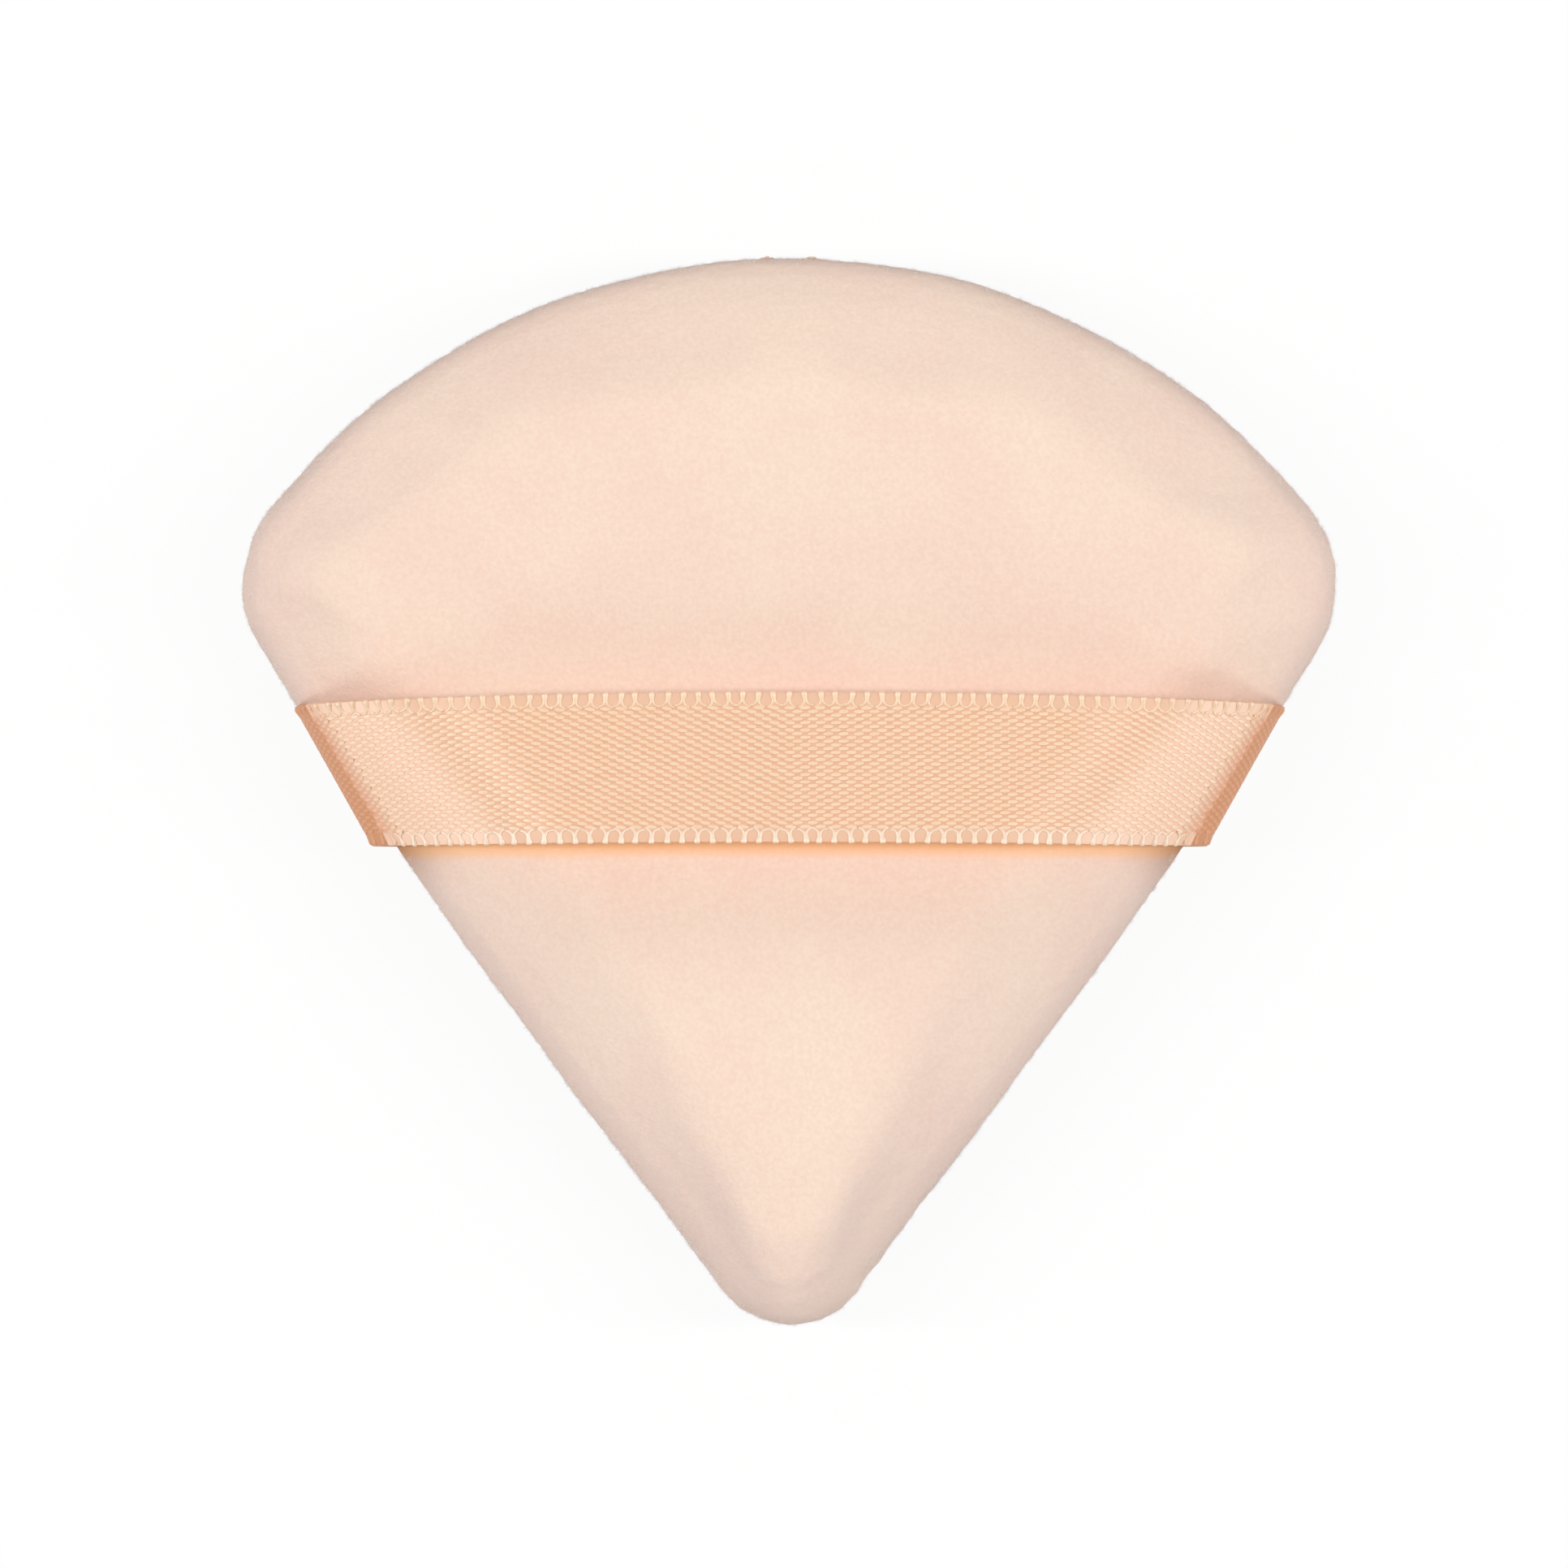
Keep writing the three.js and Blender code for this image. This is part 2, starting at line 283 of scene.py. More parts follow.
def cut_off(place, way, threshold, fill=False):
    """Cuts off what lies behind a plane, in edit mode."""
    bpy.ops.mesh.bisect(
        plane_co=place, plane_no=way, clear_inner=True, use_fill=fill, threshold=threshold
    )


def ring_by_ring(steps):
    """Insets the selected faces once for each pair of an inset and a climb."""
    for inset, climb in steps:
        bpy.ops.mesh.inset(thickness=inset, depth=climb)


def modify(piece, name, kind, **settings):
    """Adds a modifier with its settings and applies it."""
    modifier = piece.modifiers.new(name, kind)
    for setting, value in settings.items():
        setattr(modifier, setting, value)
    apply_modifier(piece, modifier)


def apply_modifier(piece, modifier):
    only(piece)
    bpy.ops.object.modifier_apply(modifier=modifier.name)


def mirror_half(piece, merge):
    """Adds the half on the other side of X = 0."""
    modify(piece, "other half", "MIRROR", use_axis=(True, False, False), merge_threshold=merge)


def smooth(piece):
    only(piece)
    bpy.ops.object.shade_smooth()


def read_rows(parts, field):
    """One vector for each of a mesh's parts, as rows of numbers."""
    values = np.empty(len(parts) * 3, np.float32)
    parts.foreach_get(field, values)
    return values.reshape(-1, 3).astype(float)


def points_of(piece):
    return read_rows(piece.data.vertices, "co")


def normals_of(piece):
    return read_rows(piece.data.vertex_normals, "vector")


def set_points(piece, points):
    piece.data.vertices.foreach_set("co", points.astype(np.float32).ravel())
    piece.data.update()


def write_on_points(piece, name, values):
    """Writes a number on each point, which a material can read by its name."""
    attribute = piece.data.attributes.new(name, "FLOAT", "POINT")
    attribute.data.foreach_set("value", values.astype(np.float32))


def unit(vector):
    return vector / np.linalg.norm(vector)


# The outline


def outward(turn):
    """The way out of the outline: turn is 0 at the fan's top and a quarter turn at its side."""
    return np.array([sin(turn), cos(turn)])


def outline_arcs():
    """The right half's four arcs from the fan's top to the tip: centre, radius, first and last
    turn. The straight flank runs between the last two."""
    shoulder_y = PUFF_LENGTH / 2 - SHOULDER_RADIUS - SHOULDER_DROP
    shoulder = np.array([PUFF_WIDTH / 2 - SHOULDER_RADIUS, shoulder_y])
    fan_radius = SHOULDER_RADIUS + (shoulder[0] ** 2 + SHOULDER_DROP ** 2) / (2 * SHOULDER_DROP)
    fan = np.array([0, PUFF_LENGTH / 2 - fan_radius])
    shoulder_turn = atan2(shoulder[0], shoulder[1] - fan[1])
    tip = np.array([0, TIP_RADIUS - PUFF_LENGTH / 2])
    to_tip = tip - shoulder
    hip_excess = (SHOULDER_RADIUS - HIP_RADIUS) * cos(HIP_SWEEP) + HIP_RADIUS - TIP_RADIUS
    flank_turn = atan2(to_tip[0], to_tip[1]) + 2 * pi - acos(hip_excess / hypot(*to_tip))
    hip_turn = flank_turn - HIP_SWEEP
    hip = shoulder + (SHOULDER_RADIUS - HIP_RADIUS) * outward(hip_turn)
    return [
        (fan, fan_radius, 0, shoulder_turn),
        (shoulder, SHOULDER_RADIUS, shoulder_turn, hip_turn),
        (hip, HIP_RADIUS, hip_turn, flank_turn),
        (tip, TIP_RADIUS, flank_turn, pi),
    ]


ARCS = outline_arcs()
TIP_ARC = len(ARCS) - 1


def arc_spots(arcs, count):
    """Places along arcs of the outline, each with the way out there."""
    return [
        (centre + radius * outward(turn), outward(turn))
        for centre, radius, first, last in arcs
        for turn in np.linspace(first, last, count)
    ]


def outline_ring():
    """Close points all the way round the puff's outline."""
    steps, tip_steps = 60, 30
    half = [place for place, out in arc_spots(ARCS[:TIP_ARC], steps)]
    tip = [place for place, out in arc_spots(ARCS[TIP_ARC:], tip_steps)]
    half = np.array(half + list(np.linspace(half[-1], tip[0], steps)) + tip)
    return np.vstack([half, half * (-1, 1)])


RING = outline_ring()
FLANK = np.array([(*place, out[0]) for place, out in arc_spots(ARCS[1:], count=40) if out[1] < 0])[::-1]


def flank_at(y):
    """The right flank's x at y, and how much longer a cut along X is than one square to it."""
    return np.interp(y, FLANK[:, 1], FLANK[:, 0]), 1 / np.interp(y, FLANK[:, 1], FLANK[:, 2])


def inset_of(points):
    """How far each point lies inside the puff's outline, seen from above."""
    batch_size = 4000
    batches = np.array_split(points[:, None, :2], 1 + len(points) // batch_size)
    return np.concatenate([
        np.sqrt(((batch - RING) ** 2).sum(axis=2)).min(axis=1)
        for batch in batches
    ])


# The pad


def fan_face(name, inset, height):
    """The fan's outline, drawn in by inset, as one face at a height: a point is spun round each
    arc's centre in turn, the half is mirrored and the loop is filled."""
    arc_edge = 1.4 * MM
    fewest_edges = 4
    flank_edges = 30
    bpy.ops.mesh.primitive_plane_add(size=MM, location=(0, PUFF_LENGTH / 2 - inset, height))
    piece = start(name)
    bpy.ops.mesh.merge(type="CENTER")
    for number, (centre, radius, first, last) in enumerate(ARCS):
        if number == TIP_ARC:
            step = (centre + (radius - inset) * outward(first) - here) / flank_edges
            for _ in range(flank_edges):
                bpy.ops.mesh.extrude_region_move(TRANSFORM_OT_translate={"value": (*step, 0)})
        steps = max(fewest_edges, round(radius * (last - first) / arc_edge))
        bpy.ops.mesh.spin(steps=steps, angle=last - first, center=(*centre, height), axis=(0, 0, 1))
        here = centre + (radius - inset) * outward(last)
    settle(piece)
    mirror_half(piece, MERGE)
    open_whole(piece)
    bpy.ops.mesh.remove_doubles(threshold=MERGE)
    bpy.ops.mesh.edge_face_add()
    return piece


def curved_steps(rise, reach, rings, squareness=2):
    """How far in and up each ring of a curved edge goes, from upright to flat. A squareness of 2
    is a quarter of an ellipse."""
    turns = [pi / 2 * k / rings for k in range(rings + 1)]
    insets = [reach * (1 - cos(turn) ** (2 / squareness)) for turn in turns]
    climbs = [rise * sin(turn) ** (2 / squareness) for turn in turns]
    return list(zip(np.diff(insets), np.diff(climbs)))


def half_form(name, way, face_z, depth, turn_in):
    """One side of the pad, a depth inside its outer surface, open at the seam. It starts at the
    widest line, rolls over to the flat of its face, and turns in towards the seam."""
    widest_z = SEAM_Z + way * LIP_HEIGHT
    rise = abs(face_z - widest_z)
    piece = fan_face(name, depth, widest_z)
    bpy.ops.mesh.select_all(action="SELECT")
    bpy.ops.mesh.extrude_region_move(TRANSFORM_OT_translate={"value": (0, 0, way * MERGE * 2)})
    bpy.ops.mesh.select_all(action="SELECT")
    bpy.ops.mesh.normals_make_consistent(inside=False)
    select_faces(piece, lambda normal: normal.z * way > FACE_LEVEL)
    ring_by_ring(curved_steps(rise, ROLL_REACH - depth, ROLL_RINGS, ROLL_SQUARENESS))
    select_faces(piece, lambda normal: normal.z * way < -FACE_LEVEL)
    ring_by_ring(turn_in)
    bpy.ops.mesh.delete(type="FACE")
    bpy.ops.object.mode_set(mode="OBJECT")
    return piece


def pad_form(name, depth, turn_in):
    """The pad's closed form, a depth inside its outer surface."""
    back = half_form(name, 1, BACK_Z - CROWN - depth, depth, turn_in)
    powder = half_form(name + "_powder_side", -1, depth, depth, turn_in)
    only(back)
    powder.select_set(True)
    bpy.ops.object.join()
    open_whole(back)
    bpy.ops.mesh.remove_doubles(threshold=MERGE)
    turn_outwards(back)
    return back


def raise_dome(piece):
    """Rounds the back: the filling pushes it up into one broad dome, which slopes all the way
    from the edge to the middle."""
    points = points_of(piece) / WORK_SCALE
    inset = inset_of(points)
    rolled = 1 - (1 - np.clip(inset / ROLL_REACH, 0, 1)) ** ROLL_SQUARENESS
    domed = 1 - (1 - np.clip(inset / DOME_REACH, 0, 1)) ** 2
    rise = BACK_Z - SEAM_Z - LIP_HEIGHT
    lift = rise * np.sqrt(domed) - (rise - CROWN) * rolled ** (1 / ROLL_SQUARENESS)
    lift *= np.clip(inset / DOME_BLEND, 0, 1) * (points[:, 2] > SEAM_Z + LIP_HEIGHT)
    points[:, 2] += evened(piece, lift[:, None], DOME_EVENING)[:, 0]
    set_points(piece, points * WORK_SCALE)


def evened(piece, moves, rounds):
    """Each point's move averaged with its neighbours', so that the cloth keeps its broad swell and
    loses its sharp wrinkles."""
    ends = np.empty(len(piece.data.edges) * 2, np.int32)
    piece.data.edges.foreach_get("vertices", ends)
    first, second = ends.reshape(-1, 2).T
    count = np.bincount(ends, minlength=len(moves))[:, None]
    for _ in range(rounds):
        around = np.zeros_like(moves)
        np.add.at(around, first, moves[second])
        np.add.at(around, second, moves[first])
        moves = (moves + around) / (1 + count)
    return moves


def inflate(piece, voxel, swell_cap):
    """Fills the pad: its cloth swells under pressure from inside, held at the seam, and no point
    moves further than the cap."""
    only(piece)
    piece.data.transform(Matrix.Scale(WORK_SCALE, 4))
    modify(piece, "even cloth", "REMESH", mode="VOXEL", voxel_size=voxel * WORK_SCALE)
    raise_dome(piece)
    rest = points_of(piece)
    seam = piece.vertex_groups.new(name="seam")
    held = np.abs(rest[:, 2] - SEAM_Z * WORK_SCALE) < voxel * WORK_SCALE * HELD_VOXELS
    seam.add([int(i) for i in np.flatnonzero(held)], 1.0, "REPLACE")
    cloth = piece.modifiers.new("filled cloth", "CLOTH")
    for setting, value in CLOTH.items():
        setattr(cloth.settings, setting, value)
    cloth.settings.effector_weights.gravity = 0
    cloth.collision_settings.use_collision = False
    cloth.point_cache.frame_start = 1
    cloth.point_cache.frame_end = SIMULATED_FRAMES
    for step in range(1, SIMULATED_FRAMES + 1):
        bpy.context.scene.frame_set(step)
    apply_modifier(piece, cloth)
    bpy.context.scene.frame_set(1)
    moved = evened(piece, points_of(piece) - rest, EVENING_ROUNDS)
    distance = np.linalg.norm(moved, axis=1, keepdims=True)
    limit = swell_cap * WORK_SCALE
    set_points(piece, rest + moved * (limit / np.maximum(distance, limit)))
    piece.vertex_groups.clear()
    piece.data.transform(Matrix.Scale(1 / WORK_SCALE, 4))
    piece.data.update()
    fit_outline(piece)


def fit_outline(piece):
    """The filled pad gets the outline that its covers were cut for, and lies flat on the table."""
    points = points_of(piece)
    bearing = np.arctan2(points[:, 1], points[:, 0])
    reach = np.hypot(points[:, 0], points[:, 1])
    sectors = 240
    sector = ((bearing + pi) / (2 * pi) * sectors).astype(int) % sectors
    furthest = np.zeros(sectors)
    np.maximum.at(furthest, sector, reach)
    middles = (np.arange(sectors) + 0.5) / sectors * 2 * pi - pi
    ring_bearing = np.arctan2(RING[:, 1], RING[:, 0])
    order = np.argsort(ring_bearing)
    ring_reach = np.hypot(*RING[order].T)
    wanted = np.interp(middles, ring_bearing[order], ring_reach, period=2 * pi)
    stretch = wanted / furthest
    window = 3
    shifts = range(-window, window + 1)
    stretch = sum(np.roll(stretch, shift) for shift in shifts) / len(shifts)
    stretch = np.interp(bearing, middles, stretch, period=2 * pi)
    rim_hold = 3
    near_rim = (reach / np.interp(bearing, middles, furthest, period=2 * pi)) ** rim_hold
    points[:, :2] *= (1 + (stretch - 1) * near_rim)[:, None]
    points[:, 2] = np.clip(points[:, 2], 0, BACK_Z)
    set_points(piece, points)


def wrinkle(piece):
    """The seam's thread gathers the velour into small puckers, and the filling shows through as
    slight unevenness."""
    points = points_of(piece)
    normals = normals_of(piece)
    near_seam = np.exp(-((points[:, 2] - SEAM_Z) / PUCKER_SPREAD) ** 2)
    off_table = np.clip(points[:, 2] / PUCKER_SPREAD, 0, 1)
    puckers = np.array([noise(Vector(p) / PUCKER_SIZE) for p in points])
    swells = np.array([noise(Vector(p) / SWELL_SIZE) for p in points])
    move = PUCKER_DEPTH * puckers * near_seam + SWELL_DEPTH * swells * off_table
    set_points(piece, points + normals * move[:, None])


def cover(pad, name, way):
    """One velour cover: its side of the filled pad, with its edge turned in as a seam allowance
    and the cloth's thickness inwards."""
    piece = add_object(name, pad.data.copy())
    piece.data.name = name
    open_whole(piece)
    cut_off((0, 0, SEAM_Z + way * SEAM_GAP), (0, 0, way), MERGE)
    turn_edge_in(piece)
    turn_outwards(piece)
    outer = len(piece.data.vertices)
    modify(piece, "velour", "SOLIDIFY", thickness=COVER_THICKNESS, offset=-1)
    raise_nap(piece, outer)
    smooth(piece)
    return piece


def turn_edge_in(piece):
    """Extrudes the cover's open edge inwards, in edit mode, square to the outline everywhere."""
    bpy.ops.mesh.select_all(action="DESELECT")
    bpy.ops.mesh.select_non_manifold()
    bpy.ops.mesh.extrude_edges_move()
    spots = arc_spots(ARCS, count=12)
    mesh = bmesh.from_edit_mesh(piece.data)
    for corner in [vertex for vertex in mesh.verts if vertex.select]:
        x, y, _ = corner.co
        _, out = min(spots, key=lambda spot: hypot(spot[0][0] - abs(x), spot[0][1] - y))
        side = 1 if x >= 0 else -1
        corner.co -= Vector((out[0] * side, out[1], 0)) * SEAM_ALLOWANCE
    bmesh.update_edit_mesh(piece.data)


def raise_nap(piece, outer):
    """The pile stands up unevenly over the cover's outer side."""
    points = points_of(piece)
    normals = normals_of(piece)
    draw = np.random.default_rng(NAP_SEED)
    rise = draw.uniform(-NAP_RISE, NAP_RISE, outer)
    rise *= np.clip(points[:outer, 2] / (2 * NAP_RISE), 0, 1)
    points[:outer] += normals[:outer] * rise[:, None]
    points[:, 2] = np.maximum(points[:, 2], 0)
    set_points(piece, points)


def make_covers():
    """Both covers, cut from one filled pad."""
    pad = pad_form("filled_pad", PAD_DEPTH, curved_steps(LIP_HEIGHT, SEAM_RECESS, LIP_RINGS))
    inflate(pad, CLOTH_VOXEL, SWELL_CAP)
    modify(pad, "finer cloth", "SUBSURF", levels=1, render_levels=1)
    wrinkle(pad)
    back = cover(pad, "velour_back", 1)
    powder = cover(pad, "velour_powder_side", -1)
    bpy.data.objects.remove(pad)
    return back, powder


def make_foam():
    """The foam inside the covers, with a groove round its edge for the seam allowances."""
    groove_inset = SEAM_RECESS + SEAM_ALLOWANCE + FOAM_GAP - FOAM_DEPTH
    turn_in = [(0, LIP_HEIGHT - FOAM_GROOVE_HALF), (groove_inset, 0), (0, FOAM_GROOVE_HALF)]
    return pad_form("foam_pad", FOAM_DEPTH, turn_in)


# The pile, and the painted shade and painted shadow written on the velour


def lay_copies(name, pattern, frames):
    """One object of copies of a small pattern, each laid in its own frame: a place and the three
    ways that the pattern's axes take there."""
    spots = points_of(pattern)
    faces = [list(face.vertices) for face in pattern.data.polygons]
    bpy.data.objects.remove(pattern)
    all_points = []
    all_faces = []
    for number, (here, forward, sideways, up) in enumerate(frames):
        all_points.append(here + spots @ np.array([forward, sideways, up]))
        base = number * len(spots)
        all_faces.extend([base + corner for corner in face] for face in faces)
    mesh = bpy.data.meshes.new(name)
    mesh.from_pydata(np.vstack(all_points).tolist(), [], all_faces)
    mesh.validate()
    piece = add_object(name, mesh)
    smooth(piece)
    return piece


def pile_pattern():
    """One pile fibre: a slim point along Z, as high as one unit."""
    bpy.ops.mesh.primitive_cone_add(
        vertices=3, radius1=PILE_THICKNESS / 2, radius2=0, depth=1, location=(0, 0, 0.5)
    )
    return settle(bpy.context.object)


def make_pile(velour_cover, name):
    """The pile that stands out past the puff's rolled rim, where it shows against the light."""
    faces = velour_cover.data.polygons
    centres = read_rows(faces, "center")
    normals = read_rows(faces, "normal")
    areas = np.array([face.area for face in faces])
    faces_out = (normals[:, :2] * centres[:, :2]).sum(axis=1) > 0
    steep = np.abs(normals[:, 2]) < PILE_STEEPNESS
    under_ribbon = np.abs(centres[:, 1] - RIBBON_MIDDLE + RIBBON_END_DROP) < RIBBON_WIDTH / 2
    wanted = areas * (faces_out & steep & (centres[:, 2] > PILE_HEIGHT) & ~under_ribbon)
    draw = np.random.default_rng(PILE_SEED)
    tufts = draw.choice(len(faces), size=PILE_TUFTS, p=wanted / wanted.sum())
    frames = []
    for number in tufts:
        normal = normals[number]
        along = unit(np.cross(normal, UPRIGHT))
        round_rim = np.cross(normal, along)
        tuft_lean = draw.normal(0, TUFT_LEAN, 3)
        tuft_height = draw.uniform(SHORTEST_TUFT, 1) * PILE_HEIGHT
        for _ in range(FIBRES_IN_TUFT):
            up = normal + tuft_lean + draw.normal(0, FIBRE_LEAN, 3)
            up *= draw.uniform(SHORTEST_FIBRE, 1) * tuft_height / np.linalg.norm(up)
            sideways = unit(np.cross(up, UPRIGHT))
            forward = unit(np.cross(sideways, up))
            stray = draw.normal(0, TUFT_SPREAD, 2)
            root = centres[number] - normal * PILE_ROOT + along * stray[0] + round_rim * stray[1]
            frames.append((root, forward, sideways, up))
    return lay_copies(name, pile_pattern(), frames)


def mark_painted_rim_shade(piece):
    """Writes on the velour a painted shade, greyer the further each of its points is turned over
    towards the seam, and stronger towards the tip than along the fan's top."""
    ends = (-PUFF_LENGTH / 2, PUFF_LENGTH / 2)
    share = np.interp(points_of(piece)[:, 1], ends, (RIM_SHADE_AT_TIP, RIM_SHADE_AT_TOP))
    # Painted shade: grows as the surface turns away from the light overhead.
    rim_shade = share * (1 - np.abs(normals_of(piece)[:, 2]))
    write_on_points(piece, "painted_rim_shade", np.minimum(rim_shade, RIM_SHADE_CAP))


def mark_painted_ribbon_shadows(piece, run):
    """Writes on the velour two painted shadows: a warm one close under the ribbon's lower edge,
    and a darker one round that edge's two corners."""
    steps = 60
    reach = run.foot_at(0) + CURL_FADE
    edge = np.array([run.at(along, 0) for along in np.linspace(0, reach, steps)])
    points = points_of(piece)
    edge_y = np.interp(np.abs(points[:, 0]), edge[:, 0], edge[:, 1])
    edge_z = np.interp(np.abs(points[:, 0]), edge[:, 0], edge[:, 2])
    away = np.clip((edge_y - points[:, 1]) / WARM_SHADOW_REACH, 0, 1)
    near = (edge_y - points[:, 1] > -RIBBON_WIDTH / 2) & (edge_z - points[:, 2] < WARM_SHADOW_DROP)
    on_back = points[:, 2] > SEAM_Z
    # Painted shadow: the velour is tinted warm orange close under the ribbon's lower edge.
    write_on_points(piece, "painted_warm_shadow", WARM_SHADOW_SHARE * (1 - away ** 2) * near * on_back)
    # Painted shadow: the velour is darkened brown round the ribbon's lower corners, most where pressed
    # is largest.
    corner = edge[-1]
    from_corner = np.hypot(np.abs(points[:, 0]) - corner[0], points[:, 1] - corner[1])
    pressed = np.clip(1 - from_corner / CORNER_SHADOW_REACH, 0, 1) ** 2
    write_on_points(piece, "painted_corner_shadow", CORNER_SHADOW_SHARE * pressed * on_back)


# The satin ribbon


def rounded(start_at, start_heading, end_at, end_heading):
    """Points along a smooth bend that leaves one place and reaches another on given headings."""
    reach = HANDLE_SHARE * hypot(*(end_at - start_at))
    first = start_at + start_heading * reach
    second = end_at - end_heading * reach
    t = np.linspace(0, 1, BEND_STEPS)[:, None]
    left = 1 - t
    leaving = left ** 3 * start_at + 3 * t * left ** 2 * first
    return leaving + 3 * t ** 2 * left * second + t ** 3 * end_at


def warp_line(across_share):
    """Half of one lengthwise thread's run as places of x and z, from the middle of the span to
    the end of its tail in the seam. The share is 0 at the ribbon's lower edge and 1 at its upper."""
    gathered = RIBBON_WIDTH - RIBBON_END_GATHER
    edge, slant = flank_at(RIBBON_MIDDLE - RIBBON_END_DROP + gathered * (across_share - 0.5))

    def between(lower, upper):
        return lower + (upper - lower) * across_share

    def place(inset, z):
        return np.array([edge - inset * slant, z])

    ahead, down, back = np.array([1, 0]), np.array([0, -1]), np.array([-1, 0])
    down_slope = np.array([cos(SLOPE), -sin(SLOPE)])
    over_edge = np.array([cos(CURL_SLOPE), -sin(CURL_SLOPE)])
    span_end = place(SPAN_INSET, SPAN_Z)
    foot = place(between(LOWER_FOOT_INSET, UPPER_FOOT_INSET), between(LOWER_FOOT_Z, UPPER_FOOT_Z))
    outermost = place(-between(LOWER_CURL_BULGE, UPPER_CURL_BULGE), CURL_Z)
    mouth = place(SEAM_RECESS, SEAM_Z)
    tail_end = place(SEAM_RECESS + RIBBON_TAIL, SEAM_Z)
    return np.vstack([
        np.linspace((0, SPAN_Z), span_end, SPAN_STEPS)[:-1],
        rounded(span_end, ahead, foot, down_slope)[:-1],
        rounded(foot, over_edge, outermost, down)[:-1],
        rounded(outermost, down, mouth, back)[:-1],
        np.linspace(mouth, tail_end, TAIL_STEPS),
    ])


class RibbonRun:
    """The ribbon's middle surface: where a thread is, by how far along it and how far across."""

    def __init__(self, rows=33):
        self.shares = np.linspace(0, 1, rows)
        self.lines = [warp_line(share) for share in self.shares]
        steps = [np.hypot(*np.diff(line, axis=0).T) for line in self.lines]
        self.runs = [np.concatenate([[0], np.cumsum(step)]) for step in steps]

    def _step_at(self, across_share, step):
        return float(np.interp(across_share, self.shares, [run[step] for run in self.runs]))

    def half_length(self, across_share):
        """From the middle to the end of the tail."""
        return self._step_at(across_share, -1)

    def shown(self, across_share):
        """From the middle to the mouth of the seam."""
        return self.half_length(across_share) - RIBBON_TAIL - SEAM_RECESS

    def foot_at(self, across_share):
        """How far from the middle the slope ends and the ribbon turns down over the pad's edge."""
        return self._step_at(across_share, FOOT_STEP)

    def curl(self, along, across_share):
        """From 0 on the face to 1 where the ribbon has turned down over the pad's edge."""
        return np.clip((abs(along) - self.foot_at(across_share)) / CURL_FADE, 0, 1)

    def _on_row(self, row, along):
        x = np.interp(abs(along), self.runs[row], self.lines[row][:, 0])
        z = np.interp(abs(along), self.runs[row], self.lines[row][:, 1])
        ended = abs(along) / self.runs[row][-1]
        width = RIBBON_WIDTH - RIBBON_END_GATHER * ended ** 2
        y = RIBBON_MIDDLE - RIBBON_END_DROP * ended ** 2 + width * (self.shares[row] - 0.5)
        return np.array([x * np.sign(along), y, z])

    def at(self, along, across_share):
        """The point at a distance from the middle of the span, positive towards +X."""
        row = across_share * (len(self.shares) - 1)
        lower = min(int(row), len(self.shares) - 2)
        blend = row - lower
        return (1 - blend) * self._on_row(lower, along) + blend * self._on_row(lower + 1, along)

    def frame_at(self, along, across_share):
        """The point, the way along, the way across and the way up from the ribbon's face."""
        reach = 0.15 * MM
        share_step = reach / RIBBON_WIDTH
        low, high = max(across_share - share_step, 0), min(across_share + share_step, 1)
        forward = unit(self.at(along + reach, across_share) - self.at(along - reach, across_share))
        up = unit(np.cross(forward, self.at(along, high) - self.at(along, low)))
        return self.at(along, across_share), forward, np.cross(up, forward), up


def make_ribbon_body(run):
    """The ribbon's ground weave: a grid laid along the run and given the cloth's thickness."""
    bpy.ops.mesh.primitive_grid_add(x_subdivisions=WOVEN_ALONG, y_subdivisions=WOVEN_ACROSS, size=2)
    body = settle(start("ribbon_ground"))
    places = []
    for x, y, _ in points_of(body):
        share = (y + 1) / 2
        places.append((x * run.half_length(share), share))
    set_points(body, np.array([run.at(*place) for place in places]))
    write_on_points(body, "curled", np.array([run.curl(*place) for place in places]))
    uv = body.data.uv_layers.active.data
    for loop in body.data.loops:
        along, share = places[loop.vertex_index]
        uv[loop.index].uv = (along / RIBBON_WIDTH, share)
    modify(body, "weave thickness", "SOLIDIFY", thickness=RIBBON_BODY, offset=0)
    smooth(body)
    bpy.ops.object.shade_smooth_by_angle(angle=WOVEN_SHARP_EDGE)
    return body


def lay_on_ribbon(name, pattern, frames, curls):
    """Copies of a yarn pattern on the ribbon, each marked with the ribbon's curl where it lies."""
    corners = len(pattern.data.vertices)
    piece = lay_copies(name, pattern, frames)
    write_on_points(piece, "curled", np.repeat(curls, corners))
    return piece


def turned(frame_here, angle):
    """The same frame with its way along turned on the ribbon's face."""
    here, forward, sideways, up = frame_here
    ahead = cos(angle) * forward + sin(angle) * sideways
    return here, ahead, np.cross(up, ahead), up


def float_pattern():
    """One warp float: a yarn that comes up between two picks, the upper half of a low spindle
    along X that is pressed flat on top."""
    bpy.ops.mesh.primitive_uv_sphere_add(
        segments=8, ring_count=6, radius=1, rotation=(pi / 8, pi / 2, 0)
    )
    spindle = settle(bpy.context.object)
    points = points_of(spindle)
    points[:, 2] = np.clip(points[:, 2] * FLOAT_PRESS, -1, 1)
    points[:, 1] = np.clip(points[:, 1] * FLOAT_FULLNESS, -1, 1)
    set_points(spindle, points * (FLOAT_LENGTH / 2, FLOAT_WIDTH / 2, FLOAT_RISE))
    open_whole(spindle)
    cut_off((0, 0, 0), (0, 0, 1), MERGE / 10, fill=True)
    bpy.ops.object.mode_set(mode="OBJECT")
    return spindle


